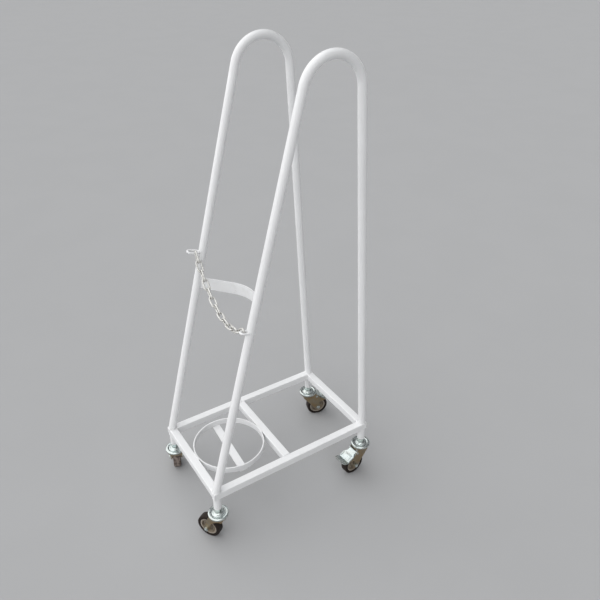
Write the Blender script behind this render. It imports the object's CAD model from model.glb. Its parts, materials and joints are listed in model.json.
"""Looks of a welded gas cylinder trolley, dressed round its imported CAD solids.

Sizes are in metres in the row frame: the cylinder ring's centre is at zero, +Z is up and the loading end
faces -Y. The CAD solids keep their places. This script gives them finishes, and adds the weld beads, link
welds, threads, chamfered fasteners and turned wheels that the solids leave plain.
"""

from __future__ import annotations

import json
import logging
import math
from dataclasses import dataclass
from dataclasses import field
from enum import Enum
from typing import Iterator
from typing import Sequence

import bmesh
import bpy
import numpy as np
from mathutils import Matrix
from mathutils import Vector

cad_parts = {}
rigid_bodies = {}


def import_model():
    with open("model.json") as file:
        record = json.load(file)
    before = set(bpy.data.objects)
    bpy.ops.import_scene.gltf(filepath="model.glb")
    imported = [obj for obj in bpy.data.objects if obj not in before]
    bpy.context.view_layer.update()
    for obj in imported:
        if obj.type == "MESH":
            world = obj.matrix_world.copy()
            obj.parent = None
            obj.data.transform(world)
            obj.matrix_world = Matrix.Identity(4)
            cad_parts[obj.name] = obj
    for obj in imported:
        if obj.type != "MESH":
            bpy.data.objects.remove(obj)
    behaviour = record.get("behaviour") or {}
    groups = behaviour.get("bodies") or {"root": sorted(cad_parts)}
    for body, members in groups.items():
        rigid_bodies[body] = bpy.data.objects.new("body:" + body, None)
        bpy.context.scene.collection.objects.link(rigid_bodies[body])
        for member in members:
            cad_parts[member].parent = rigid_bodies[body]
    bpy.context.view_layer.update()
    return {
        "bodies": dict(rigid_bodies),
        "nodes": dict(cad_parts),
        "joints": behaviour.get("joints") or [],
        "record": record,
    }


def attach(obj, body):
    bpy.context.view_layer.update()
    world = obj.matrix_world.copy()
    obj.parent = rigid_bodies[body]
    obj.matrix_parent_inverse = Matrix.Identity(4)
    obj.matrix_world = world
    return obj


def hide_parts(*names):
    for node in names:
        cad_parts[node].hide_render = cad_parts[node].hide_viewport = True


LOG = logging.getLogger("trolley")
FRAME: dict[str, object] = {}

Colour = tuple[float, float, float]
Spot = tuple[float, float, float]
Range = tuple[float, float]
Outline = list[tuple[float, float]]
Feeds = dict[int | str, object]
Socket = bpy.types.NodeSocket

FLOOR = -0.1862
EDGE_SAMPLES = 6
TURN_STEPS = 96
AXIS_GAP = 0.0002
BORE_GAP = 0.00003


class Corner(Enum):
    """The base's corners, each with a caster under it."""

    FRONT_LEFT = "front_left"
    FRONT_RIGHT = "front_right"
    REAR_RIGHT = "rear_right"
    REAR_LEFT = "rear_left"


class Side(Enum):
    """The trolley's two sides, as the sign of X."""

    LEFT = -1.0
    RIGHT = 1.0


class WeldStyle(Enum):
    """How a weld was left: bead size and ripple spacing in metres."""

    FILLET = (0.0021, 0.0026)
    SMALL = (0.0014, 0.0020)
    DRESSED = (0.0008, 0.0016)


class Mark(Enum):
    """What the points of a source mesh carry: the attribute's name, its type and the key of its data."""

    BEAD = ("bead", "FLOAT", "value")
    AIM = ("aim", "FLOAT_VECTOR", "vector")


class Slot(Enum):
    """The record's material slots that new pieces take their finish from."""

    ENAMEL = "white_enamel"
    CHAIN = "galvanised_chain"
    ZINC = "zinc"
    TYRE = "tyre"
    CORE = "wheel_core"


def scaled(colour: Colour, factor: float) -> Colour:
    """Makes a colour lighter or darker by a factor."""
    return (colour[0] * factor, colour[1] * factor, colour[2] * factor)


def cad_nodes() -> dict[str, bpy.types.Object]:
    """Gives the CAD nodes by name."""
    return FRAME["nodes"]


def paint_nodes(names: Sequence[str], material: bpy.types.Material) -> None:
    """Gives CAD nodes a finish.

    Args:
        names: The nodes' names.
        material: Their finish.
    """
    for name in names:
        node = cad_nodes()[name]
        if not node.material_slots:
            node.data.materials.append(material)
        for slot in node.material_slots:
            slot.material = material
        LOG.info("%s: %s", name, material.name)


def hand_in(piece: bpy.types.Object, body: str, node: str = "") -> None:
    """Puts a finished piece on its body and reports it.

    Args:
        piece: The piece.
        body: The body that it rides on.
        node: The CAD node that it stands for, if any.
    """
    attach(piece, body)
    if node:
        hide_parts(node)
    LOG.info("%s: %d faces", piece.name, len(piece.data.polygons))


class NodeSheet:
    """A node tree being drawn, with short calls for the nodes that most finishes need."""

    def __init__(self, tree: bpy.types.NodeTree) -> None:
        """Keeps a shader or geometry tree and empties it."""
        self.tree = tree
        tree.nodes.clear()

    def feed(self, target: Socket, value: object) -> None:
        """Links a socket to an input, or sets a plain value on it.

        Args:
            target: The input to feed.
            value: An output socket, a node for its first output, or the value itself.
        """
        if isinstance(value, bpy.types.Node):
            value = value.outputs[0]
        if isinstance(value, Socket):
            self.tree.links.new(value, target)
        elif target.type == "RGBA":
            target.default_value = (*value, 1.0)
        else:
            target.default_value = value

    def add(self, kind: str, feeds: Feeds | None = None, **settings: object) -> bpy.types.Node:
        """Adds a node, sets its options and feeds its inputs.

        Args:
            kind: The node's type name.
            feeds: What the inputs take, by their names or numbers.
            settings: Options by attribute name.

        Returns:
            The new node.
        """
        node = self.tree.nodes.new(kind)
        for key, value in settings.items():
            setattr(node, key, value)
        for key, value in (feeds or {}).items():
            self.feed(node.inputs[key], value)
        return node

    def maths(self, operation: str, first: object, second: object = 0.0, clamp: bool = False) -> Socket:
        """Works out one number from two, kept between 0 and 1 where clamp is set."""
        feeds = {0: first, 1: second}
        return self.add("ShaderNodeMath", feeds, operation=operation, use_clamp=clamp).outputs[0]

    def times(self, first: object, second: object, clamp: bool = False) -> Socket:
        """Multiplies two numbers."""
        return self.maths("MULTIPLY", first, second, clamp)

    def plus(self, first: object, second: object, clamp: bool = False) -> Socket:
        """Adds two numbers."""
        return self.maths("ADD", first, second, clamp)

    def minus(self, first: object, second: object) -> Socket:
        """Takes the second number from the first."""
        return self.maths("SUBTRACT", first, second)

    def most(self, first: object, second: object) -> Socket:
        """Gives the greater of two numbers."""
        return self.maths("MAXIMUM", first, second)

    def spread(self, value: object, low: object, high: object, to_low: object = 0.0,
               to_high: object = 1.0) -> Socket:
        """Stretches a number smoothly from one range to another."""
        feeds = dict(enumerate((value, low, high, to_low, to_high)))
        return self.add("ShaderNodeMapRange", feeds, interpolation_type="SMOOTHSTEP").outputs[0]

    def between(self, share: object, low: float, high: float) -> Socket:
        """Turns a share from 0 to 1 smoothly into a value between two others."""
        return self.spread(share, 0.0, 1.0, low, high)

    def blend(self, factor: object, first: object, second: object) -> Socket:
        """Mixes two colours by the share of the second."""
        return self.add("ShaderNodeMix", {0: factor, 6: first, 7: second}, data_type="RGBA").outputs[2]

    def split(self, vector: Socket) -> bpy.types.NodeOutputs:
        """Splits a place or a direction into X, Y and Z."""
        return self.add("ShaderNodeSeparateXYZ", {0: vector}).outputs

    def object_point(self) -> Socket:
        """Gives the place on the piece in the row frame."""
        return self.add("ShaderNodeTexCoord").outputs["Object"]

    def face_normal(self) -> Socket:
        """Gives the direction that the surface faces."""
        return self.add("ShaderNodeNewGeometry").outputs["Normal"]

    def noise(self, waves: object, detail: float, vector: Socket | None = None) -> Socket:
        """Adds noise with so many waves to the metre and layers of detail, on the piece or a given place."""
        feeds = {"Vector": vector or self.object_point(), "Scale": waves, "Detail": detail}
        return self.add("ShaderNodeTexNoise", feeds).outputs[0]


class Effect(Enum):
    """Surface effects that several finishes share: their shader groups' names, inputs and defaults."""

    EDGE_WEAR = ("edge_wear", {"Radius": 0.001, "Breakup": 80.0, "Amount": 0.5})
    CREVICE_DIRT = ("crevice_dirt", {"Distance": 0.006, "Breakup": 70.0, "Amount": 0.5})
    DRIFT = ("surface_drift", {"Scale": 8.0, "Contrast": 0.2})
    SCRATCHES = ("rub_scratches", {"Scale": 300.0, "Amount": 0.5})
    SPANGLE = ("plating_spangle", {"Scale": 500.0})


class SharedEffects:
    """Builds each shared effect once and places it in materials."""

    line_turns: tuple[Spot, Spot] = ((0.0, 0.0, 0.5), (0.0, 0.25, 0.2))
    line_squeezes: tuple[Spot, Spot] = ((1.0, 1.0, 0.035), (0.035, 1.0, 1.0))

    def __init__(self) -> None:
        """Starts with no group built."""
        self.groups: dict[Effect, bpy.types.NodeTree] = {}
        self.makers = {
            Effect.EDGE_WEAR: self.edge_wear,
            Effect.CREVICE_DIRT: self.crevice_dirt,
            Effect.DRIFT: self.drift,
            Effect.SCRATCHES: self.scratches,
            Effect.SPANGLE: self.spangle,
        }

    def open_group(self, effect: Effect) -> tuple[NodeSheet, bpy.types.NodeOutputs, Socket]:
        """Starts an effect's shader group with its named sockets.

        Args:
            effect: The effect that the group gives.

        Returns:
            The group's sheet, its inputs as seen inside, and the socket that takes its result.
        """
        name, inputs = effect.value
        tree = bpy.data.node_groups.new(name, "ShaderNodeTree")
        sheet = NodeSheet(tree)
        for label, default in inputs.items():
            socket = tree.interface.new_socket(label, in_out="INPUT", socket_type="NodeSocketFloat")
            socket.default_value = default
        tree.interface.new_socket("Value", in_out="OUTPUT", socket_type="NodeSocketFloat")
        self.groups[effect] = tree
        return sheet, sheet.add("NodeGroupInput").outputs, sheet.add("NodeGroupOutput").inputs[0]

    def edge_wear(self) -> None:
        """Marks sharp edges, broken up by noise."""
        sheet, given, result = self.open_group(Effect.EDGE_WEAR)
        bevel = sheet.add("ShaderNodeBevel", {"Radius": given["Radius"]}, samples=EDGE_SAMPLES)
        turn = sheet.add("ShaderNodeVectorMath", {0: bevel, 1: sheet.face_normal()}, operation="DOT_PRODUCT")
        edge = sheet.spread(sheet.minus(1.0, turn.outputs["Value"]), 0.02, 0.18)
        patches = sheet.spread(sheet.noise(given["Breakup"], 5.0), 0.50, 0.60)
        sheet.feed(result, sheet.times(sheet.times(edge, patches), given["Amount"], clamp=True))

    def crevice_dirt(self) -> None:
        """Marks narrow corners, where dust and grime stay."""
        sheet, given, result = self.open_group(Effect.CREVICE_DIRT)
        shade = sheet.add("ShaderNodeAmbientOcclusion", {"Distance": given["Distance"]}, samples=EDGE_SAMPLES)
        depth = sheet.spread(sheet.minus(1.0, shade.outputs["AO"]), 0.22, 0.75)
        patches = sheet.spread(sheet.noise(given["Breakup"], 4.0), 0.30, 0.70, 0.35, 1.0)
        sheet.feed(result, sheet.times(sheet.times(depth, patches), given["Amount"], clamp=True))

    def drift(self) -> None:
        """Gives a slow change over the surface, between 0 and 1."""
        sheet, given, result = self.open_group(Effect.DRIFT)
        low = sheet.minus(0.5, given["Contrast"])
        high = sheet.plus(0.5, given["Contrast"])
        sheet.feed(result, sheet.spread(sheet.noise(given["Scale"], 4.0), low, high))

    def scratches(self) -> None:
        """Marks thin rubbed lines that run up and down and along the piece."""
        sheet, given, result = self.open_group(Effect.SCRATCHES)
        total: object = 0.0
        for turn, squeeze in zip(self.line_turns, self.line_squeezes):
            feeds = {"Vector": sheet.object_point(), "Rotation": turn, "Scale": squeeze}
            place = sheet.add("ShaderNodeMapping", feeds).outputs[0]
            total = sheet.most(total, sheet.spread(sheet.noise(given["Scale"], 2.0, place), 0.63, 0.72))
        sheet.feed(result, sheet.times(total, given["Amount"], clamp=True))

    def spangle(self) -> None:
        """Gives each grain of plating its own value."""
        sheet, given, result = self.open_group(Effect.SPANGLE)
        grains = sheet.add("ShaderNodeTexVoronoi", {"Vector": sheet.object_point(), "Scale": given["Scale"]})
        sheet.feed(result, sheet.add("ShaderNodeSeparateColor", {0: grains.outputs["Color"]}))

    def place(self, sheet: NodeSheet, effect: Effect, values: Feeds) -> Socket:
        """Puts an effect in a material.

        Args:
            sheet: The material's sheet.
            effect: The effect wanted.
            values: Values of its inputs, by name.

        Returns:
            The effect's output socket.
        """
        if effect not in self.groups:
            self.makers[effect]()
        return sheet.add("ShaderNodeGroup", values, node_tree=self.groups[effect]).outputs[0]


class Coat(NodeSheet):
    """A material's sheet, with its shader and the shared effects at hand."""

    def __init__(self, name: str, effects: SharedEffects) -> None:
        """Opens a material.

        Args:
            name: The material's name.
            effects: The shared effects.
        """
        self.material = bpy.data.materials.new(name)
        self.material.use_nodes = True
        super().__init__(self.material.node_tree)
        self.effects = effects
        self.shader = self.add("ShaderNodeBsdfPrincipled")
        self.add("ShaderNodeOutputMaterial", {"Surface": self.shader})

    def effect(self, effect: Effect, **values: float) -> Socket:
        """Places a shared effect, with values for its inputs by name."""
        return self.effects.place(self, effect, values)

    def surface(self, feeds: Feeds) -> None:
        """Feeds the shader's inputs, by name."""
        for name, value in feeds.items():
            self.feed(self.shader.inputs[name], value)

    def layers(self, base: object, *covers: tuple[Socket, Colour]) -> Socket:
        """Covers a colour with others, each where its mask says.

        Args:
            base: The colour below.
            covers: The masks and colours, from the lowest to the highest.

        Returns:
            The resulting colour's socket.
        """
        for mask, colour in covers:
            base = self.blend(mask, base, colour)
        return base

    def relief(self, height: Socket, depth: float, edge: float) -> None:
        """Gives the shader fine relief over softly rounded edges.

        Args:
            height: Socket with the relief, between 0 and 1.
            depth: Height of the relief in metres.
            edge: Radius of the rounded edges in metres.
        """
        bevel = self.add("ShaderNodeBevel", {"Radius": edge}, samples=EDGE_SAMPLES)
        feeds = {"Strength": 1.0, "Distance": depth, "Height": height, "Normal": bevel}
        self.surface({"Normal": self.add("ShaderNodeBump", feeds)})

    def turned_radius(self) -> Socket:
        """Gives the radius on a turned piece, which the lathe's UV map carries."""
        return self.split(self.add("ShaderNodeUVMap", uv_map="lathe").outputs[0])["Y"]


@dataclass(frozen=True)
class Finish:
    """A finish with its name and main colour."""

    name: str
    colour: Colour

    def material(self, effects: SharedEffects) -> bpy.types.Material:
        """Builds the finish's material.

        Args:
            effects: The shared effects.

        Returns:
            The material.
        """
        coat = Coat(self.name, effects)
        self.dress(coat)
        return coat.material

    def dress(self, coat: Coat) -> None:
        """Draws the finish on its material's sheet."""
        raise NotImplementedError(self.name)


@dataclass(frozen=True)
class Enamel(Finish):
    """White gloss enamel sprayed over welded steel, with rubbed places, grime and small chips."""

    grime: Colour = (0.36, 0.34, 0.31)
    bare: Colour = (0.23, 0.225, 0.22)
    rubbed: Colour = (0.46, 0.455, 0.44)
    dull: float = 0.955
    rough: Range = (0.30, 0.40)
    dirt_rough: float = 0.3
    worn_rough: float = 0.25
    clear_coat: float = 0.25
    clear_rough: float = 0.10
    chips: float = 0.55
    chip_metal: float = 0.7
    chip_depth: float = 0.8
    rub_radius: float = 0.1125
    rub_reach: Range = (0.0004, 0.0010)
    peel: tuple[Range, Range] = ((330.0, 0.7), (55.0, 0.9))
    peel_depth: float = 0.00016
    edge: float = 0.0007

    def rub_mask(self, coat: Coat) -> Socket:
        """Marks the faces of the ring and strap that the gas cylinder rubs.

        Args:
            coat: The material's sheet.

        Returns:
            The mask's socket.
        """
        place = coat.split(coat.object_point())
        square = coat.plus(*[coat.times(place[axis], place[axis]) for axis in "XY"])
        off = coat.maths("ABSOLUTE", coat.minus(coat.maths("SQRT", square), self.rub_radius))
        near = coat.spread(off, *self.rub_reach, 1.0, 0.0)
        lines = coat.effect(Effect.SCRATCHES, Scale=260.0, Amount=0.30)
        smear = coat.spread(coat.noise(34.0, 4.0), 0.45, 0.70, 0.0, 0.16)
        return coat.times(near, coat.most(lines, smear), clamp=True)

    def dress(self, coat: Coat) -> None:
        """Draws the enamel.

        Args:
            coat: The material's sheet.
        """
        drift = coat.effect(Effect.DRIFT, Scale=6.0, Contrast=0.22)
        dirt = coat.effect(Effect.CREVICE_DIRT, Distance=0.007, Breakup=60.0, Amount=0.55)
        chips = coat.effect(Effect.EDGE_WEAR, Radius=0.0008, Breakup=120.0, Amount=self.chips)
        rub = self.rub_mask(coat)
        base = coat.blend(drift, scaled(self.colour, self.dull), self.colour)
        rough = coat.plus(coat.between(drift, *self.rough), coat.times(dirt, self.dirt_rough))
        worn = coat.times(coat.most(rub, chips), self.worn_rough)
        coat.surface({
            "Base Color": coat.layers(base, (dirt, self.grime), (rub, self.rubbed), (chips, self.bare)),
            "Roughness": coat.plus(rough, worn, clamp=True),
            "Metallic": coat.times(chips, self.chip_metal),
            "Coat Weight": self.clear_coat,
            "Coat Roughness": self.clear_rough,
        })
        peel = coat.plus(*[coat.times(coat.noise(waves, 2.0), share) for waves, share in self.peel])
        coat.relief(coat.minus(peel, coat.times(chips, self.chip_depth)), self.peel_depth, self.edge)


@dataclass(frozen=True)
class ZincPlate(Finish):
    """Bright zinc plate, cool in places and a little warmer in others."""

    warm: Colour = (0.58, 0.60, 0.57)
    grime: Colour = (0.10, 0.085, 0.07)
    crown: Colour | None = None
    crown_tilt: Range = (0.25, 0.75)
    rough: Range = (0.20, 0.34)
    worn_rough: float = 0.22
    metal: Range = (1.0, 0.35)
    dirt: float = 0.6
    dirt_reach: float = 0.005
    grain: float = 0.16
    grain_shade: float = 0.80
    pit: float = 0.5
    line_depth: float = -0.6
    depth: float = 0.00004
    edge: float = 0.0006

    def dress(self, coat: Coat) -> None:
        """Draws the plating.

        Args:
            coat: The material's sheet.
        """
        tint = coat.effect(Effect.DRIFT, Scale=45.0, Contrast=0.30)
        cloud = coat.effect(Effect.DRIFT, Scale=140.0, Contrast=0.30)
        grain = coat.times(coat.effect(Effect.SPANGLE, Scale=1400.0), self.grain)
        dirt = coat.effect(Effect.CREVICE_DIRT, Distance=self.dirt_reach, Breakup=150.0, Amount=self.dirt)
        lines = coat.effect(Effect.SCRATCHES, Scale=700.0, Amount=0.45)
        base = coat.blend(tint, self.colour, self.warm)
        if self.crown:
            upward = coat.split(coat.face_normal())["Z"]
            base = coat.blend(coat.spread(upward, *self.crown_tilt), base, self.crown)
        dull = scaled(self.colour, self.grain_shade)
        worn = coat.times(coat.most(dirt, lines), self.worn_rough)
        coat.surface({
            "Base Color": coat.layers(base, (grain, dull), (dirt, self.grime)),
            "Roughness": coat.plus(coat.between(cloud, *self.rough), worn, clamp=True),
            "Metallic": coat.between(dirt, *self.metal),
        })
        pits = coat.times(coat.noise(1100.0, 2.0), self.pit)
        coat.relief(coat.plus(pits, coat.times(lines, self.line_depth)), self.depth, self.edge)


@dataclass(frozen=True)
class GalvanisedWire(Finish):
    """Dull hot-dipped zinc on chain wire."""

    dark: Colour = (0.46, 0.455, 0.435)
    grime: Colour = (0.13, 0.10, 0.075)
    grain: float = 0.45
    cloud: float = 0.35
    rough: Range = (0.34, 0.52)
    dirt_rough: float = 0.25
    metal: Range = (0.62, 0.2)
    grain_depth: float = 0.35
    depth: float = 0.00010
    edge: float = 0.0004

    def dress(self, coat: Coat) -> None:
        """Draws the galvanised surface.

        Args:
            coat: The material's sheet.
        """
        grain = coat.effect(Effect.SPANGLE, Scale=420.0)
        cloud = coat.effect(Effect.DRIFT, Scale=90.0, Contrast=0.2)
        dirt = coat.effect(Effect.CREVICE_DIRT, Distance=0.005, Breakup=160.0, Amount=0.7)
        base = coat.layers(self.colour, (coat.times(grain, self.grain), self.dark),
                           (coat.times(cloud, self.cloud), self.dark), (dirt, self.grime))
        rough = coat.between(grain, *self.rough)
        coat.surface({
            "Base Color": base,
            "Roughness": coat.plus(rough, coat.times(dirt, self.dirt_rough), clamp=True),
            "Metallic": coat.between(dirt, *self.metal),
        })
        height = coat.plus(coat.noise(520.0, 3.0), coat.times(grain, self.grain_depth))
        coat.relief(height, self.depth, self.edge)


@dataclass(frozen=True)
class TyreRubber(Finish):
    """Dark brown rubber, dusty and scuffed on the tread."""

    dust: Colour = (0.36, 0.30, 0.265)
    shade: float = 0.75
    dirt_shade: float = 0.45
    tread: Range = (0.0372, 0.0407)
    scuffed: float = 0.06
    least_scuff: float = 0.3
    rough: Range = (0.58, 0.72)
    scuff_rough: float = 0.20
    gloss: float = 0.18
    grit: Range = (0.35, 1.0)
    depth: float = 0.00018
    edge: float = 0.0003

    def dress(self, coat: Coat) -> None:
        """Draws the rubber, whose tread is found by the radius on the wheel.

        Args:
            coat: The material's sheet.
        """
        tread = coat.spread(coat.turned_radius(), *self.tread)
        smear = coat.spread(coat.noise(95.0, 5.0), 0.38, 0.66, self.least_scuff * self.scuffed, self.scuffed)
        scuff = coat.times(smear, tread)
        dirt = coat.effect(Effect.CREVICE_DIRT, Distance=0.004, Breakup=150.0, Amount=0.5)
        drift = coat.effect(Effect.DRIFT, Scale=60.0, Contrast=0.2)
        base = coat.blend(drift, scaled(self.colour, self.shade), self.colour)
        rough = coat.between(drift, *self.rough)
        coat.surface({
            "Base Color": coat.layers(base, (scuff, self.dust), (dirt, scaled(self.dust, self.dirt_shade))),
            "Roughness": coat.plus(rough, coat.times(scuff, self.scuff_rough), clamp=True),
            "Specular IOR Level": self.gloss,
        })
        grit = coat.times(coat.noise(900.0, 4.0), coat.between(tread, *self.grit))
        coat.relief(grit, self.depth, self.edge)


@dataclass(frozen=True)
class MouldedCore(Finish):
    """Tan moulded plastic with faint turning rings, dirt in its hollows and a rim rubbed pale."""

    grime: Colour = (0.07, 0.055, 0.045)
    rim: Colour = (0.50, 0.455, 0.40)
    rim_reach: Range = (0.0268, 0.0280)
    shade: float = 0.80
    rough: Range = (0.36, 0.48)
    dirt_rough: float = 0.3
    ring_waves: float = 9000.0
    ring_depth: float = 0.25
    depth: float = 0.00008
    edge: float = 0.0004

    def dress(self, coat: Coat) -> None:
        """Draws the plastic.

        Args:
            coat: The material's sheet.
        """
        radius = coat.turned_radius()
        rings = coat.maths("SINE", coat.times(radius, self.ring_waves))
        drift = coat.effect(Effect.DRIFT, Scale=75.0, Contrast=0.2)
        dirt = coat.effect(Effect.CREVICE_DIRT, Distance=0.006, Breakup=140.0, Amount=0.8)
        base = coat.blend(drift, scaled(self.colour, self.shade), self.colour)
        patches = coat.spread(coat.noise(60.0, 4.0), 0.35, 0.6, 0.25, 0.9)
        rubbed = coat.times(coat.spread(radius, *self.rim_reach), patches)
        rough = coat.between(drift, *self.rough)
        coat.surface({
            "Base Color": coat.layers(base, (rubbed, self.rim), (dirt, self.grime)),
            "Roughness": coat.plus(rough, coat.times(dirt, self.dirt_rough), clamp=True),
        })
        height = coat.plus(coat.times(rings, self.ring_depth), coat.noise(700.0, 3.0))
        coat.relief(height, self.depth, self.edge)


class Finishes:
    """The trolley's materials, each built once."""

    def __init__(self) -> None:
        """Builds every finish."""
        effects = SharedEffects()
        self.enamel = Enamel("white_enamel", (0.84, 0.845, 0.85)).material(effects)
        self.weld_enamel = Enamel("weld_enamel", (0.81, 0.815, 0.82), rough=(0.36, 0.46),
                                  chips=0.0).material(effects)
        self.zinc = ZincPlate("zinc_plate", (0.58, 0.65, 0.645)).material(effects)
        self.cap_zinc = ZincPlate("cap_zinc", (0.60, 0.67, 0.665), grime=(0.055, 0.06, 0.06),
                                  rough=(0.17, 0.31), dirt=0.95, dirt_reach=0.012).material(effects)
        self.fork_zinc = ZincPlate("fork_zinc", (0.33, 0.30, 0.23), warm=(0.36, 0.24, 0.12),
                                   rough=(0.30, 0.44), dirt=0.75, crown=(0.50, 0.55, 0.54)).material(effects)
        self.galvanised = GalvanisedWire("galvanised_wire", (0.80, 0.795, 0.765)).material(effects)
        self.tyre = TyreRubber("tyre_rubber", (0.020, 0.0135, 0.011)).material(effects)
        self.dusty_tyre = TyreRubber("dusty_tyre_rubber", (0.030, 0.020, 0.016),
                                     scuffed=0.95).material(effects)
        self.core = MouldedCore("moulded_core", (0.30, 0.25, 0.19)).material(effects)


class MeshKit:
    """Mesh making that several sub-assemblies share."""

    straight: float = math.radians(172.0)
    corner_share: float = 0.45
    merge: float = 1e-7
    chamfer: float = math.radians(28.0)
    face_share: float = 0.475

    @classmethod
    def fillet(cls, outline: Outline, radius: float, steps: int) -> Outline:
        """Rounds the corners of a closed outline.

        Args:
            outline: The corners, in order.
            radius: Wanted radius of each corner.
            steps: Straight pieces to each rounded corner.

        Returns:
            The rounded outline.
        """
        points = [Vector(p) for p in outline]
        result: Outline = []
        for index, corner in enumerate(points):
            before = points[index - 1] - corner
            after = points[(index + 1) % len(points)] - corner
            turn = before.angle(after)
            if turn > cls.straight:
                result.append((corner.x, corner.y))
                continue
            room = cls.corner_share * min(before.length, after.length)
            reach = min(radius / math.tan(turn / 2), room)
            start = corner + before.normalized() * reach
            end = corner + after.normalized() * reach
            for step in range(steps + 1):
                share = step / steps
                point = start * (1 - share) ** 2 + corner * (2 * share * (1 - share)) + end * share ** 2
                result.append((point.x, point.y))
        return result

    @classmethod
    def finish_object(cls, name: str, work: bmesh.types.BMesh, material: bpy.types.Material,
                      sharp: float = 32.0) -> bpy.types.Object:
        """Turns mesh work into a shaded object at the origin.

        Args:
            name: The piece's name.
            work: The mesh, which is freed here.
            material: Its finish.
            sharp: Edges that turn by more degrees than this stay sharp.

        Returns:
            The object, linked to the scene.
        """
        bmesh.ops.remove_doubles(work, verts=work.verts, dist=cls.merge)
        bmesh.ops.recalc_face_normals(work, faces=work.faces)
        mesh = bpy.data.meshes.new(name)
        work.to_mesh(mesh)
        work.free()
        mesh.materials.append(material)
        mesh.polygons.foreach_set("use_smooth", [True] * len(mesh.polygons))
        mesh.set_sharp_from_angle(angle=math.radians(sharp))
        piece = bpy.data.objects.new(name, mesh)
        bpy.context.scene.collection.objects.link(piece)
        return piece

    @staticmethod
    def lie_of(node: str) -> tuple[Vector, Vector, Vector]:
        """Finds how a link or an eye of wire lies from its own solid.

        Args:
            node: The solid's node.

        Returns:
            Its middle, its long axis and the axis across its width.
        """
        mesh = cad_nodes()[node].data
        flat = np.zeros(len(mesh.vertices) * 3, np.float32)
        mesh.vertices.foreach_get("co", flat)
        spots = flat.reshape(-1, 3).astype(float)
        shifted = spots - spots.mean(axis=0)
        _, axes = np.linalg.eigh(shifted.T @ shifted)
        along_axes = spots @ axes
        middle = axes @ (0.5 * (along_axes.min(axis=0) + along_axes.max(axis=0)))
        return Vector(middle), Vector(axes[:, 2]), Vector(axes[:, 1])

    @staticmethod
    def skin(work: bmesh.types.BMesh, rows: list[list[Vector]]) -> list[tuple[bmesh.types.BMFace, int, int]]:
        """Joins closed rows of places, the last to the first, with four-sided faces.

        Args:
            work: The mesh to add to.
            rows: The places of each row, all rows equally long.

        Returns:
            Each face with the numbers of its row and of its place in the row.
        """
        points = [[work.verts.new(place) for place in row] for row in rows]
        faces = []
        for step, here in enumerate(points):
            there = points[(step + 1) % len(points)]
            for index in range(len(here)):
                after = (index + 1) % len(here)
                face = work.faces.new((here[index], there[index], there[after], here[after]))
                faces.append((face, step, index))
        return faces

    @classmethod
    def lathe(cls, work: bmesh.types.BMesh, outline: Outline, place: Matrix, steps: int = TURN_STEPS) -> None:
        """Turns a closed outline about the local Z axis, with radius in its UV map's second value.

        Args:
            work: The mesh to add to.
            outline: Radius and height of each corner.
            place: From the local frame to the row frame.
            steps: Faces round the turn.
        """
        layer = work.loops.layers.uv.get("lathe") or work.loops.layers.uv.new("lathe")
        rows = []
        for step in range(steps):
            angle = 2 * math.pi * step / steps
            rows.append([place @ Vector((r * math.cos(angle), r * math.sin(angle), z)) for r, z in outline])
        for face, step, index in cls.skin(work, rows):
            after = (index + 1) % len(outline)
            marks = ((step, index), (step + 1, index), (step + 1, after), (step, after))
            for loop, (turn, corner) in zip(face.loops, marks):
                loop[layer].uv = (turn / steps, outline[corner][0])

    @classmethod
    def hexagon(cls, work: bmesh.types.BMesh, flats: float, height: float, bore: float,
                place: Matrix) -> None:
        """Adds a hexagon with both faces chamfered to a circle, as nuts and bolt heads have.

        Args:
            work: The mesh to add to.
            flats: Width across the flats.
            height: Height along the local Z axis.
            bore: Radius of the hole, or 0 for a solid head.
            place: From the local frame to the row frame.
        """
        face_r = cls.face_share * flats
        inner = max(bore, AXIS_GAP)
        rows = []
        for step in range(TURN_STEPS):
            angle = 2 * math.pi * step / TURN_STEPS
            within = (angle + math.pi / 6) % (math.pi / 3) - math.pi / 6
            outer = 0.5 * flats / math.cos(math.pi / 6 - abs(within))
            drop = max(outer - face_r, 0.0) * math.tan(cls.chamfer)
            half = [(inner, 0.0), (face_r, 0.0), (outer, drop)]
            row = half + [(r, height - z) for r, z in reversed(half)]
            direction = Vector((math.cos(angle), math.sin(angle), 0.0))
            rows.append([place @ (direction * r + Vector((0.0, 0.0, z))) for r, z in row])
        cls.skin(work, rows)

    @staticmethod
    def seed(name: str, points: Sequence[Vector], mark: Mark, values: Sequence[float],
             edges: Sequence[tuple[int, int]] = ()) -> bpy.types.Mesh:
        """Makes a source mesh of points or paths for a geometry tree.

        Args:
            name: The mesh's name.
            points: Its points.
            mark: What the points carry.
            values: What they carry, one number or three to each point.
            edges: The points that are joined, by number.

        Returns:
            The mesh.
        """
        attribute, kind, key = mark.value
        mesh = bpy.data.meshes.new(name)
        mesh.from_pydata([tuple(point) for point in points], edges, [])
        mesh.attributes.new(attribute, kind, "POINT").data.foreach_set(key, values)
        return mesh


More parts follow.
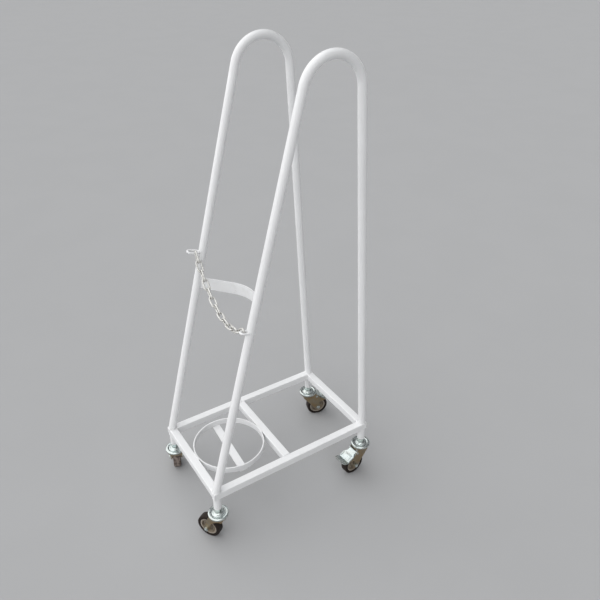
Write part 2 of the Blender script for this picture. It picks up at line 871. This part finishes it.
class GrowthTree:
    """A geometry node tree with named inputs, whose result becomes a plain mesh."""

    def __init__(self, name: str, inputs: dict[str, float]) -> None:
        """Opens the tree.

        Args:
            name: The tree's name.
            inputs: Its sizes, with their defaults.
        """
        self.tree = bpy.data.node_groups.new(name, "GeometryNodeTree")
        self.sheet = NodeSheet(self.tree)
        self.keys: dict[str, str] = {}
        kinds = {"Geometry": "Geometry", **dict.fromkeys(inputs, "Float"), "Finish": "Material"}
        for label, kind in kinds.items():
            socket = self.tree.interface.new_socket(label, in_out="INPUT", socket_type=f"NodeSocket{kind}")
            if label in inputs:
                socket.default_value = inputs[label]
            self.keys[label] = socket.identifier
        self.tree.interface.new_socket("Geometry", in_out="OUTPUT", socket_type="NodeSocketGeometry")
        self.given = self.sheet.add("NodeGroupInput").outputs

    def carried(self, mark: Mark) -> Socket:
        """Reads what the source mesh's points carry."""
        feeds = {"Name": mark.value[0]}
        return self.sheet.add("GeometryNodeInputNamedAttribute", feeds, data_type=mark.value[1]).outputs[0]

    def size(self, *sizes: Socket) -> bpy.types.Node:
        """Joins three sizes into one."""
        return self.sheet.add("ShaderNodeCombineXYZ", dict(enumerate(sizes)))

    def put_aimed(self, shape: bpy.types.Node, **feeds: object) -> bpy.types.Node:
        """Puts a shape at each point of the source mesh, along the direction that the point carries.

        Args:
            shape: The node that makes the shape.
            feeds: Other inputs of the instances, by name.

        Returns:
            The node with the instances.
        """
        spots = self.sheet.add("GeometryNodeMeshToPoints", {0: self.given["Geometry"]})
        aim = {"Vector": self.carried(Mark.AIM)}
        turn = self.sheet.add("FunctionNodeAlignRotationToVector", aim, axis="Z")
        whole = {"Points": spots, "Instance": shape, "Rotation": turn, **feeds}
        return self.sheet.add("GeometryNodeInstanceOnPoints", whole)

    def close(self, *shapes: bpy.types.Node) -> None:
        """Joins, realizes and finishes the shapes as the tree's result.

        Args:
            shapes: The nodes that make the shapes to join.
        """
        join = self.sheet.add("GeometryNodeJoinGeometry")
        for shape in shapes:
            self.sheet.feed(join.inputs[0], shape)
        real = self.sheet.add("GeometryNodeRealizeInstances", {0: join})
        smooth = self.sheet.add("GeometryNodeSetShadeSmooth", {0: real})
        paint = {"Geometry": smooth, "Material": self.given["Finish"]}
        self.sheet.add("NodeGroupOutput", {0: self.sheet.add("GeometryNodeSetMaterial", paint)})

    def grow(self, name: str, seed_mesh: bpy.types.Mesh, material: bpy.types.Material,
             values: dict[str, float]) -> bpy.types.Object:
        """Runs the tree on a source mesh and keeps the result as a plain mesh.

        Args:
            name: The piece's name.
            seed_mesh: Mesh of paths or points that the tree starts from.
            material: The result's finish.
            values: Sizes by input name.

        Returns:
            The finished object.
        """
        piece = bpy.data.objects.new(name, seed_mesh)
        bpy.context.scene.collection.objects.link(piece)
        modifier = piece.modifiers.new(name, "NODES")
        modifier.node_group = self.tree
        modifier[self.keys["Finish"]] = material
        for label, value in values.items():
            modifier[self.keys[label]] = value
        graph = bpy.context.evaluated_depsgraph_get()
        result = bpy.data.meshes.new_from_object(piece.evaluated_get(graph), depsgraph=graph)
        piece.modifiers.clear()
        piece.data = result
        result.name = name
        result.materials.clear()
        result.materials.append(material)
        result.polygons.foreach_set("material_index", [0] * len(result.polygons))
        return piece


class WeldTree(GrowthTree):
    """Weld beads that follow paths: a core run with overlapping ripples along it."""

    core_sides: int = 10
    core_share: float = 0.86
    ripple_share: float = 0.86
    ripple_low: float = 0.92
    ripple_high: float = 1.12
    ripple_seed: int = 7

    def __init__(self) -> None:
        """Builds the tree."""
        super().__init__("weld_bead", {"Ripple Pitch": 0.0024})
        sheet = self.sheet
        pitch = self.given["Ripple Pitch"]
        bead = self.carried(Mark.BEAD)
        path = sheet.add("GeometryNodeMeshToCurve", {0: self.given["Geometry"]})
        follow = {"Curve": path, "Length": pitch}
        even = sheet.add("GeometryNodeResampleCurve", follow, mode="LENGTH")
        section = sheet.add("GeometryNodeCurvePrimitiveCircle",
                            {"Resolution": self.core_sides, "Radius": self.core_share})
        run = sheet.add("GeometryNodeCurveToMesh",
                        {"Curve": even, "Profile Curve": section, "Scale": bead, "Fill Caps": True})
        spots = sheet.add("GeometryNodeCurveToPoints", follow, mode="LENGTH")
        ripple = sheet.add("GeometryNodeMeshIcoSphere", {"Radius": 1.0, "Subdivisions": 2})
        chance = {2: self.ripple_low, 3: self.ripple_high, "Seed": self.ripple_seed}
        jitter = sheet.add("FunctionNodeRandomValue", chance, data_type="FLOAT")
        width = sheet.times(bead, jitter.outputs[1])
        size = self.size(width, width, sheet.times(pitch, self.ripple_share))
        put = sheet.add("GeometryNodeInstanceOnPoints", {
            "Points": spots,
            "Instance": ripple,
            "Rotation": spots.outputs["Rotation"],
            "Scale": size,
        })
        self.close(run, put)


class CollarTree(GrowthTree):
    """Swollen butt welds round the chain's wire: one at each point, along the direction that it carries."""

    def __init__(self) -> None:
        """Builds the tree."""
        super().__init__("link_weld", {"Radius": 0.0031, "Half Length": 0.0034})
        swell = self.sheet.add("GeometryNodeMeshUVSphere", {"Segments": 20, "Rings": 10, "Radius": 1.0})
        radius = self.given["Radius"]
        self.close(self.put_aimed(swell, Scale=self.size(radius, radius, self.given["Half Length"])))


class ThreadTree(GrowthTree):
    """Thread ridges: a spiral at each point, along the direction that the point carries."""

    coil_steps: int = 28
    ridge_sides: int = 6

    def __init__(self) -> None:
        """Builds the tree."""
        super().__init__("bolt_thread", {"Radius": 0.0039, "Turns": 2.0, "Length": 0.0025, "Ridge": 0.00035})
        radius = self.given["Radius"]
        coil = self.sheet.add("GeometryNodeCurveSpiral", {
            "Resolution": self.coil_steps,
            "Rotations": self.given["Turns"],
            "Start Radius": radius,
            "End Radius": radius,
            "Height": self.given["Length"],
        })
        section = self.sheet.add("GeometryNodeCurvePrimitiveCircle",
                                 {"Resolution": self.ridge_sides, "Radius": self.given["Ridge"]})
        ridge = self.sheet.add("GeometryNodeCurveToMesh",
                               {"Curve": coil, "Profile Curve": section, "Fill Caps": True})
        self.close(self.put_aimed(ridge))


@dataclass
class WeldRun:
    """One weld: the line that it follows and how it was left."""

    points: list[Vector]
    style: WeldStyle = WeldStyle.SMALL
    closed: bool = False


class WeldShop:
    """Lays weld runs as ripple beads on the frame."""

    ring_steps: int = 48

    def __init__(self, finishes: Finishes) -> None:
        """Keeps the finishes and builds the bead tree."""
        self.finishes = finishes
        self.tree = WeldTree()

    @classmethod
    def ring(cls, centre: Spot, reach: float, stretch: float = 1.0) -> list[Vector]:
        """Gives points round a level circle, or round an ellipse that is stretched along Y.

        Args:
            centre: The circle's middle.
            reach: Its radius.
            stretch: Length along Y to width along X.

        Returns:
            The points, in order.
        """
        turns = [2 * math.pi * step / cls.ring_steps for step in range(cls.ring_steps)]
        reach_y = reach * stretch
        return [Vector(centre) + Vector((reach * math.cos(t), reach_y * math.sin(t), 0.0)) for t in turns]

    @staticmethod
    def line(start: Spot, end: Spot, steps: int) -> list[Vector]:
        """Gives evenly spaced points from one place to another."""
        return [Vector(start).lerp(Vector(end), step / steps) for step in range(steps + 1)]

    def lay(self, name: str, runs: Sequence[WeldRun]) -> None:
        """Makes one piece of several weld runs, riding on the frame.

        Args:
            name: The piece's name.
            runs: The weld runs.
        """
        points: list[Vector] = []
        edges: list[tuple[int, int]] = []
        beads: list[float] = []
        for run in runs:
            first = len(points)
            points.extend(run.points)
            beads.extend([run.style.value[0]] * len(run.points))
            edges.extend((first + i, first + i + 1) for i in range(len(run.points) - 1))
            if run.closed:
                edges.append((len(points) - 1, first))
        mesh = MeshKit.seed(f"{name}_paths", points, Mark.BEAD, beads, edges)
        pitch = min(run.style.value[1] for run in runs)
        piece = self.tree.grow(name, mesh, self.finishes.weld_enamel, {"Ripple Pitch": pitch})
        hand_in(piece, "frame")


@dataclass
class BaseFrame:
    """The base's square tubes with their corner welds and the caster sockets' welds."""

    finishes: Finishes
    shop: WeldShop
    side_x: float = 0.1655
    front_y: float = -0.129
    cross_y: float = 0.129
    rear_y: float = 0.426
    rail: float = 0.025
    top: float = 0.020
    corner_round: float = 0.002
    mitre_end: float = 0.002
    mitre_steps: int = 8
    dressed_in: float = 0.0008
    inside_out: float = 0.0002
    socket_weld_r: float = 0.0126
    painted: tuple[str, ...] = ("front_rail", "rear_rail", "left_rail", "right_rail", "cross_rail",
                                "caster_sockets")

    def corners(self) -> Iterator[tuple[float, float]]:
        """Gives the middle of each base corner."""
        for side in Side:
            for y in (self.front_y, self.rear_y):
                yield side.value * self.side_x, y

    def cross_rail_runs(self) -> list[WeldRun]:
        """Gives the welds round the cross rail's two ends."""
        half = self.rail / 2
        flat = half - self.corner_round
        section = [(half, flat), (flat, half), (-flat, half), (-half, flat),
                   (-half, -flat), (-flat, -half), (flat, -half), (half, -flat)]
        runs = []
        for side in Side:
            x = side.value * (self.side_x - half)
            loop = [Vector((x, self.cross_y + y, self.top - half + z)) for y, z in section]
            runs.append(WeldRun(loop, closed=True))
        return runs

    def mitre_runs(self) -> list[WeldRun]:
        """Gives the dressed welds up the base's outer corners and the small ones inside."""
        half = self.rail / 2
        low = self.top - self.rail + self.mitre_end
        high = self.top - self.mitre_end
        places = ((half - self.dressed_in, WeldStyle.DRESSED), (-half - self.inside_out, WeldStyle.SMALL))
        runs = []
        for corner_x, corner_y in self.corners():
            for reach, style in places:
                x = corner_x + math.copysign(reach, corner_x * reach)
                y = corner_y + math.copysign(reach, corner_y * reach)
                runs.append(WeldRun(WeldShop.line((x, y, low), (x, y, high), self.mitre_steps), style))
        return runs

    def socket_runs(self) -> list[WeldRun]:
        """Gives the welds round the tops of the caster sockets."""
        z = self.top - self.rail
        return [WeldRun(WeldShop.ring((x, y, z), self.socket_weld_r), closed=True) for x, y in self.corners()]

    def build(self) -> None:
        """Paints the base and lays its welds."""
        paint_nodes(self.painted, self.finishes.enamel)
        self.shop.lay("base_welds", self.cross_rail_runs() + self.mitre_runs())
        self.shop.lay("socket_welds", self.socket_runs())


@dataclass
class HoopPair:
    """The two bent tubes, their foot welds, and the strap and chain holders that they carry."""

    finishes: Finishes
    shop: WeldShop
    base: BaseFrame
    tube_r: float = 0.0125
    foot_gap: float = 0.0002
    front_lean: float = math.radians(74.8184)
    rear_lean: float = math.radians(93.6388)
    strap_low: float = 0.526
    strap_high: float = 0.564
    strap_mid_r: float = 0.1145
    strap_half: float = 0.002
    strap_gap: float = 0.0003
    strap_steps: int = 12
    halvings: int = 40
    eye_roll: float = math.radians(14.0)
    eye_half: float = 0.0075
    holders: tuple[tuple[Spot, float], ...] = (
        ((-0.1664, 0.0154, 0.6473), 0.0062),
        ((0.1585, -0.0046, 0.5543), 0.0032),
        ((0.1735, -0.0055, 0.5543), 0.0032),
    )
    holder_rise: float = 0.0033
    holder_steps: int = 32
    painted: tuple[str, ...] = ("left_hoop", "right_hoop", "cradle_strap", "keeper_eye", "chain_staple")

    def leg_y(self, z: float) -> float:
        """Gives a front leg's middle at a height."""
        return self.base.front_y + (z - self.base.top) / math.tan(self.front_lean)

    def foot_runs(self) -> list[WeldRun]:
        """Gives the welds round the four feet of the hoops."""
        runs = []
        for x, y in self.base.corners():
            lean = self.front_lean if y < 0 else self.rear_lean
            loop = WeldShop.ring((x, y, self.base.top), self.tube_r + self.foot_gap, 1.0 / math.sin(lean))
            runs.append(WeldRun(loop, WeldStyle.FILLET, closed=True))
        return runs

    def leg_meeting(self, start: Vector, along: Vector, length: float, z: float) -> Vector:
        """Finds where a level line meets the right front leg, seen from above.

        Args:
            start: Where the line starts, outside the leg.
            along: Its direction.
            length: A length at which it has reached the leg's inside.
            z: Its height.

        Returns:
            The place just outside the leg.
        """
        centre = Vector((self.base.side_x, self.leg_y(z)))
        lower, upper = 0.0, length
        for _ in range(self.halvings):
            trial = 0.5 * (lower + upper)
            point = start + along * trial - centre
            outside = math.hypot(point.x, point.y * math.sin(self.front_lean)) > self.tube_r + self.strap_gap
            lower, upper = (trial, upper) if outside else (lower, trial)
        return start + along * lower

    def strap_runs(self) -> list[WeldRun]:
        """Gives the welds where the strap's ends meet the front legs."""
        leg = Vector((self.base.side_x, self.leg_y(0.5 * (self.strap_low + self.strap_high))))
        touch = math.atan2(leg.y, leg.x) + math.acos(self.strap_mid_r / leg.length)
        start = Vector((math.cos(touch), math.sin(touch))) * self.strap_mid_r
        along = (leg - start).normalized()
        offset = Vector((-along.y, along.x)) * self.strap_half
        tall = (self.strap_high - self.strap_low) / self.strap_steps
        heights = [self.strap_low + tall * step for step in range(self.strap_steps + 1)]
        spots = []
        for shift, order in ((offset, heights), (-offset, heights[::-1])):
            for z in order:
                spots.append((*self.leg_meeting(start + shift, along, (leg - start).length, z), z))
        return [WeldRun([Vector((side.value * x, y, z)) for x, y, z in spots], closed=True) for side in Side]

    def holder_runs(self) -> list[WeldRun]:
        """Gives the welds of the keeper eye and the staple on the front legs."""
        up = Vector((0.0, math.cos(self.front_lean), math.sin(self.front_lean)))
        out = Vector((0.0, -math.sin(self.front_lean), math.cos(self.front_lean)))
        runs = []
        for spot, half_width in self.holders:
            point = Vector(spot)
            foot = Vector((point.x, self.base.front_y, self.base.top))
            axis = foot + up * (point - foot).dot(up)
            loop = []
            for step in range(self.holder_steps):
                turn = 2 * math.pi * step / self.holder_steps
                shift = half_width * math.cos(turn)
                off = abs(point.x + shift) - self.base.side_x
                reach = math.sqrt(self.tube_r ** 2 - off ** 2)
                rise = self.holder_rise * math.sin(turn)
                loop.append(axis + Vector((shift, 0.0, 0.0)) + up * rise + out * reach)
            runs.append(WeldRun(loop, closed=True))
        return runs

    def roll_eye(self) -> None:
        """Turns a copy of the keeper eye about the wire that the chain hangs on, so that its hole shows."""
        node = "keeper_eye"
        middle, along, across = MeshKit.lie_of(node)
        back = along if along.y > 0 else -along
        wire = middle + across * math.copysign(self.eye_half, across.x)
        turn = Matrix.Rotation(self.eye_roll, 4, back)
        about_wire = Matrix.Translation(wire) @ turn @ Matrix.Translation(-wire)
        work = bmesh.new()
        work.from_mesh(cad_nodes()[node].data)
        bmesh.ops.transform(work, matrix=about_wire, verts=work.verts)
        hand_in(MeshKit.finish_object("keeper_loop", work, self.finishes.enamel), "frame", node)

    def build(self) -> None:
        """Paints the hoops and what they carry, and lays the welds."""
        paint_nodes(self.painted, self.finishes.enamel)
        self.roll_eye()
        self.shop.lay("hoop_foot_welds", self.foot_runs())
        self.shop.lay("strap_welds", self.strap_runs())
        self.shop.lay("chain_holder_welds", self.holder_runs())


@dataclass
class CylinderSeat:
    """The ring that holds the cylinder's foot, and the bar under it."""

    finishes: Finishes
    shop: WeldShop
    outer_r: float = 0.1165
    height: float = 0.020
    top_half: float = 0.017
    top_steps: int = 16
    side_x: float = 0.0155
    side_in: float = 0.0003
    side_z: Range = (0.002, 0.019)
    side_steps: int = 8
    bar_half: float = 0.0125
    bar_skew: float = math.radians(-4.0)
    bar_in: float = 0.0004
    bar_z: float = -0.0002
    bar_steps: int = 8
    seam_turn: float = math.radians(148.0)
    seam_in: float = 0.0001
    seam_z: Range = (0.001, 0.019)
    seam_steps: int = 10
    painted: tuple[str, ...] = ("cylinder_ring", "ring_floor_bar")

    def rail_runs(self) -> list[WeldRun]:
        """Gives the ring's welds to the front rail and the cross rail."""
        runs = []
        for facing in (-1.0, 1.0):
            y = facing * self.outer_r
            ends = ((-self.top_half, y, self.height), (self.top_half, y, self.height))
            runs.append(WeldRun(WeldShop.line(*ends, self.top_steps)))
            y = facing * (self.outer_r - self.side_in)
            for x in (-self.side_x, self.side_x):
                runs.append(WeldRun(WeldShop.line(*[(x, y, z) for z in self.side_z], self.side_steps)))
        return runs

    def bar_runs(self) -> list[WeldRun]:
        """Gives the welds of the bar's two ends under the ring."""
        half_turn = math.asin(self.bar_half / self.outer_r)
        reach = self.outer_r - self.bar_in
        runs = []
        for flip in (0.0, math.pi):
            steps = range(-self.bar_steps, self.bar_steps + 1)
            turns = [flip + self.bar_skew + half_turn * step / self.bar_steps for step in steps]
            arc = [Vector((reach * math.cos(t), reach * math.sin(t), self.bar_z)) for t in turns]
            runs.append(WeldRun(arc))
        return runs

    def seam_run(self) -> WeldRun:
        """Gives the dressed weld that closes the ring."""
        reach = self.outer_r - self.seam_in
        place = (reach * math.cos(self.seam_turn), reach * math.sin(self.seam_turn))
        return WeldRun(WeldShop.line(*[(*place, z) for z in self.seam_z], self.seam_steps), WeldStyle.DRESSED)

    def build(self) -> None:
        """Paints the seat and lays its welds."""
        paint_nodes(self.painted, self.finishes.enamel)
        self.shop.lay("ring_welds", [*self.rail_runs(), *self.bar_runs(), self.seam_run()])


@dataclass
class SafetyChain:
    """The hung chain, with the butt weld that closes each link."""

    finishes: Finishes
    links: int = 13
    link_r: float = 0.0075
    weld_r: float = 0.00319
    weld_half: float = 0.004125
    facing: Vector = field(default_factory=lambda: Vector((0.0, 0.3, 1.0)))

    def build(self) -> None:
        """Gives the links their finish and each a swollen weld on one leg."""
        names = [f"chain_link_{index}" for index in range(1, self.links + 1)]
        paint_nodes(names, self.finishes.galvanised)
        spots = []
        aims = []
        for name in names:
            middle, along, across = MeshKit.lie_of(name)
            spots.append(middle + across * (self.link_r if across.dot(self.facing) >= 0 else -self.link_r))
            aims.extend(along)
        mesh = MeshKit.seed("link_weld_points", spots, Mark.AIM, aims)
        sizes = {"Radius": self.weld_r, "Half Length": self.weld_half}
        piece = CollarTree().grow("chain_link_welds", mesh, self.finishes.galvanised, sizes)
        hand_in(piece, "chain")


@dataclass(frozen=True)
class CasterPlace:
    """Where a caster stands and which way its wheel trails."""

    corner: Corner
    x: float
    y: float
    turn: float
    braked: bool


@dataclass
class CasterSet:
    """The swivel casters: plated heads, forks and pedals, chamfered fasteners and turned wheels."""

    finishes: Finishes
    trail: float = 0.036
    wheel_r: float = 0.040
    race_height: float = 0.1122
    axle_r: float = 0.004
    axle_flats: float = 0.013
    axle_head: float = 0.0055
    axle_nut: float = 0.0065
    axle_steps: int = 48
    leg_out: float = 0.0195
    head_sink: float = 0.0005
    tip: float = 0.002
    tip_chamfer: float = 0.0004
    stem_r: float = 0.006
    stem_flats: float = 0.019
    stem_nut: float = 0.016
    nut_low: float = -0.065
    thread_pitch: float = 0.00125
    thread_run_in: float = 0.0003
    ridge: float = 0.00035
    shoulder_at: tuple[float, float] = (0.0368, 0.0095)
    shoulder_r: float = 0.0030
    shoulder_steps: int = 6
    core_round: float = 0.0008
    core_round_steps: int = 4
    cap_round: float = 0.0022
    cap_round_steps: int = 6
    cap_sharp: float = 40.0
    thread_tree: ThreadTree = field(default_factory=ThreadTree)
    plated: tuple[str, ...] = ("socket_bushes", "caster_stems", "bearing_balls")
    places: tuple[CasterPlace, ...] = (
        CasterPlace(Corner.FRONT_LEFT, -0.1655, -0.129, math.radians(160.0), False),
        CasterPlace(Corner.FRONT_RIGHT, 0.1655, -0.129, math.radians(-150.0), False),
        CasterPlace(Corner.REAR_RIGHT, 0.1655, 0.426, math.radians(-85.0), True),
        CasterPlace(Corner.REAR_LEFT, -0.1655, 0.426, math.radians(75.0), True),
    )

    def axle_frame(self, place: CasterPlace) -> Matrix:
        """Gives the frame of a caster's axle, with Z along it.

        Args:
            place: The caster's place.

        Returns:
            From the axle's frame to the row frame.
        """
        stand = Matrix.Translation((place.x, place.y, FLOOR))
        turn = Matrix.Rotation(place.turn, 4, "Z")
        reach = Matrix.Translation((self.trail, 0.0, self.wheel_r))
        return stand @ turn @ reach @ Matrix.Rotation(-math.pi / 2, 4, "X")

    def tyre_outline(self) -> Outline:
        """Gives a tyre's section: crowned tread with a mould line, round shoulders and a sidewall groove."""
        half = [(0.0301, 0.0119), (0.0306, 0.0125), (0.0343, 0.0125), (0.0347, 0.0121), (0.0352, 0.0121),
                (0.0356, 0.0125), (0.0370, 0.0125)]
        radius, height = self.shoulder_at
        for step in range(1, self.shoulder_steps + 1):
            turn = 0.5 * math.pi * step / self.shoulder_steps
            out = self.shoulder_r * math.sin(turn)
            half.append((radius + out, height + self.shoulder_r * math.cos(turn)))
        half += [(0.03990, 0.0062), (0.03994, 0.0030), (0.03994, 0.0005),
                 (0.0400, 0.00035), (0.0400, 0.0001)]
        return half + [(r, -z) for r, z in reversed(half)]

    def core_outline(self) -> Outline:
        """Gives a wheel core's section: hub, dished web with a raised ring, and rim."""
        half = [(0.00405, 0.0160), (0.0090, 0.0160), (0.0105, 0.0035), (0.01575, 0.0035), (0.01575, 0.0065),
                (0.01825, 0.0065), (0.01825, 0.0035), (0.0235, 0.0035), (0.0250, 0.0110), (0.02997, 0.0110)]
        whole = half + [(r, -z) for r, z in reversed(half)]
        return MeshKit.fillet(whole, self.core_round, self.core_round_steps)

    def cap_outline(self) -> Outline:
        """Gives a head cap's section, with pressed rounds and a rolled skirt."""
        corners = [(0.00603, 0.0090), (0.0122, 0.0090), (0.0150, 0.0072), (0.0178, 0.0030), (0.0212, 0.0024),
                   (0.0250, 0.0038), (0.0292, 0.0037), (0.0325, 0.0016), (0.0325, -0.0030), (0.0305, -0.0030),
                   (0.0305, 0.0), (0.0195, 0.0), (0.0120, 0.0060), (0.00603, 0.0060)]
        return MeshKit.fillet(corners, self.cap_round, self.cap_round_steps)

    def shank_outline(self) -> Outline:
        """Gives an axle bolt's shank, from inside its head to its chamfered tip."""
        head = -self.leg_out - self.head_sink
        end = self.leg_out + self.axle_nut + self.tip
        root = self.axle_r - self.ridge
        return [(AXIS_GAP, head), (self.axle_r, head), (self.axle_r, self.leg_out),
                (root, self.leg_out + self.thread_run_in), (root, end - self.tip_chamfer),
                (root - self.ridge, end), (AXIS_GAP, end)]

    def turn_wheel(self, place: CasterPlace) -> None:
        """Makes a caster's tyre and core.

        Args:
            place: The caster's place.
        """
        name = place.corner.value
        dusty = place.corner is Corner.FRONT_LEFT
        rubber = self.finishes.dusty_tyre if dusty else self.finishes.tyre
        for part, outline, material, slot in (
                ("tyre", self.tyre_outline(), rubber, Slot.TYRE),
                ("wheel_core", self.core_outline(), self.finishes.core, Slot.CORE)):
            work = bmesh.new()
            MeshKit.lathe(work, outline, self.axle_frame(place))
            piece = MeshKit.finish_object(f"{name}_turned_{part}", work, material)
            hand_in(piece, f"{name}_wheel", f"{name}_{part}")

    def make_axle(self, place: CasterPlace) -> None:
        """Makes a caster's axle bolt and nut, and the thread that shows past the nut.

        Args:
            place: The caster's place.
        """
        name = place.corner.value
        body = f"{name}_swivel"
        axle = self.axle_frame(place)
        work = bmesh.new()
        head = axle @ Matrix.Translation((0.0, 0.0, -self.leg_out - self.axle_head))
        MeshKit.hexagon(work, self.axle_flats, self.axle_head, 0.0, head)
        MeshKit.lathe(work, self.shank_outline(), axle, self.axle_steps)
        bolt = MeshKit.finish_object(f"{name}_wheel_bolt", work, self.finishes.zinc)
        hand_in(bolt, body, f"{name}_axle_bolt")
        work = bmesh.new()
        seat = axle @ Matrix.Translation((0.0, 0.0, self.leg_out))
        MeshKit.hexagon(work, self.axle_flats, self.axle_nut, self.axle_r + BORE_GAP, seat)
        nut = MeshKit.finish_object(f"{name}_wheel_nut", work, self.finishes.zinc)
        hand_in(nut, body, f"{name}_axle_nut")
        start = axle @ Vector((0.0, 0.0, self.leg_out + self.axle_nut - self.thread_pitch))
        aim = axle.to_3x3() @ Vector((0.0, 0.0, 1.0))
        mesh = MeshKit.seed(f"{name}_thread_start", [start], Mark.AIM, aim)
        length = self.tip + self.thread_pitch - 2 * self.ridge
        thread = self.thread_tree.grow(f"{name}_bolt_thread", mesh, self.finishes.zinc, {
            "Radius": self.axle_r - self.ridge,
            "Turns": length / self.thread_pitch,
            "Length": length,
            "Ridge": self.ridge,
        })
        hand_in(thread, body)

    def make_stem_nuts(self) -> None:
        """Makes the nuts under the sockets."""
        work = bmesh.new()
        for place in self.places:
            stand = Matrix.Translation((place.x, place.y, self.nut_low))
            MeshKit.hexagon(work, self.stem_flats, self.stem_nut, self.stem_r + BORE_GAP, stand)
        nuts = MeshKit.finish_object("socket_nuts", work, self.finishes.cap_zinc)
        hand_in(nuts, "frame", "stem_nuts")

    def press_caps(self) -> None:
        """Makes the dished caps over the ball rows."""
        work = bmesh.new()
        for place in self.places:
            stand = Matrix.Translation((place.x, place.y, FLOOR + self.race_height))
            MeshKit.lathe(work, self.cap_outline(), stand)
        caps = MeshKit.finish_object("pressed_caps", work, self.finishes.cap_zinc, self.cap_sharp)
        hand_in(caps, "frame", "swivel_caps")

    def build(self) -> None:
        """Plates the heads and forks, and makes the wheels and fasteners."""
        paint_nodes(self.plated, self.finishes.zinc)
        self.make_stem_nuts()
        self.press_caps()
        for place in self.places:
            name = place.corner.value
            paint_nodes([f"{name}_fork"], self.finishes.fork_zinc)
            if place.braked:
                paint_nodes([f"{name}_brake_pin", f"{name}_brake_pedal"], self.finishes.zinc)
            self.turn_wheel(place)
            self.make_axle(place)


@dataclass(frozen=True)
class FarLamp:
    """A soft lamp far off: where it stands as seen from the trolley, its strength and how wide it looks."""

    name: str
    toward: Spot
    strength: float
    width: float


@dataclass
class Studio:
    """Camera, lights, floor and world."""

    pale: Colour = (0.415, 0.418, 0.422)
    mottle: float = 0.985
    floor_rough: float = 0.85
    floor_half: float = 30.0
    floor_gap: float = 0.0002
    backdrop: Colour = (0.43, 0.433, 0.438)
    gloom: Colour = (0.10, 0.10, 0.105)
    overhead: Colour = (0.29, 0.295, 0.31)
    backdrop_top: Range = (0.30, 0.46)
    ceiling: Range = (0.46, 0.95)
    camera_spot: Spot = (1.3882, -0.6265, 1.4949)
    azimuth: float = math.radians(56.83)
    elevation: float = math.radians(31.58)
    lens: float = 37.32
    sensor: float = 36.0
    lamps: tuple[FarLamp, ...] = (
        FarLamp("key", (-0.42, -0.88, 1.16), 3.08, math.radians(116.0)),
        FarLamp("fill", (0.95, -0.25, 0.45), 0.50, math.radians(75.0)),
    )

    def set_camera(self) -> None:
        """Puts the camera where the photograph was taken."""
        data = bpy.data.cameras.new("camera")
        data.sensor_fit = "HORIZONTAL"
        data.sensor_width = self.sensor
        data.lens = self.lens
        camera = bpy.data.objects.new("camera", data)
        level = math.cos(self.elevation)
        back = Vector((math.sin(self.azimuth) * level, -math.cos(self.azimuth) * level,
                       math.sin(self.elevation)))
        camera.location = self.camera_spot
        camera.rotation_euler = back.to_track_quat("Z", "Y").to_euler()
        bpy.context.scene.collection.objects.link(camera)
        bpy.context.scene.camera = camera

    def lay_floor(self) -> None:
        """Lays a wide pale floor under the wheels."""
        work = bmesh.new()
        level = Matrix.Translation((0.0, 0.0, FLOOR - self.floor_gap))
        bmesh.ops.create_grid(work, x_segments=4, y_segments=4, size=self.floor_half, matrix=level)
        coat = Coat("studio_floor", SharedEffects())
        patches = coat.spread(coat.noise(3.0, 3.0), 0.3, 0.7)
        coat.surface({
            "Base Color": coat.blend(patches, scaled(self.pale, self.mottle), self.pale),
            "Roughness": self.floor_rough,
            "Specular IOR Level": 0.0,
        })
        MeshKit.finish_object("studio_floor", work, coat.material)

    def set_world(self) -> None:
        """Surrounds the trolley with a pale backdrop, under a dim room with a brighter ceiling."""
        world = bpy.data.worlds.new("studio")
        bpy.context.scene.world = world
        world.use_nodes = True
        sheet = NodeSheet(world.node_tree)
        height = sheet.split(sheet.add("ShaderNodeTexCoord").outputs["Generated"])["Z"]
        room = sheet.blend(sheet.spread(height, *self.backdrop_top), self.backdrop, self.gloom)
        room = sheet.blend(sheet.spread(height, *self.ceiling), room, self.overhead)
        sheet.add("ShaderNodeOutputWorld", {"Surface": sheet.add("ShaderNodeBackground", {"Color": room})})

    def hang_lamps(self) -> None:
        """Hangs the wide key lamp before the loading end and a softer fill at the right."""
        for far in self.lamps:
            data = bpy.data.lights.new(far.name, "SUN")
            data.energy = far.strength
            data.angle = far.width
            lamp = bpy.data.objects.new(far.name, data)
            lamp.rotation_euler = Vector(far.toward).to_track_quat("Z", "Y").to_euler()
            bpy.context.scene.collection.objects.link(lamp)

    def build(self) -> None:
        """Sets up the whole studio."""
        bpy.context.scene.view_settings.view_transform = "Standard"
        self.set_camera()
        self.lay_floor()
        self.set_world()
        self.hang_lamps()


def main() -> None:
    """Builds every sub-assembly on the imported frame."""
    logging.basicConfig(level=logging.INFO, format="%(name)s: %(message)s")
    FRAME.update(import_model())
    Studio().build()
    finishes = Finishes()
    shop = WeldShop(finishes)
    base = BaseFrame(finishes, shop)
    base.build()
    HoopPair(finishes, shop, base).build()
    CylinderSeat(finishes, shop).build()
    SafetyChain(finishes).build()
    CasterSet(finishes).build()


if __name__ == "__main__":
    main()
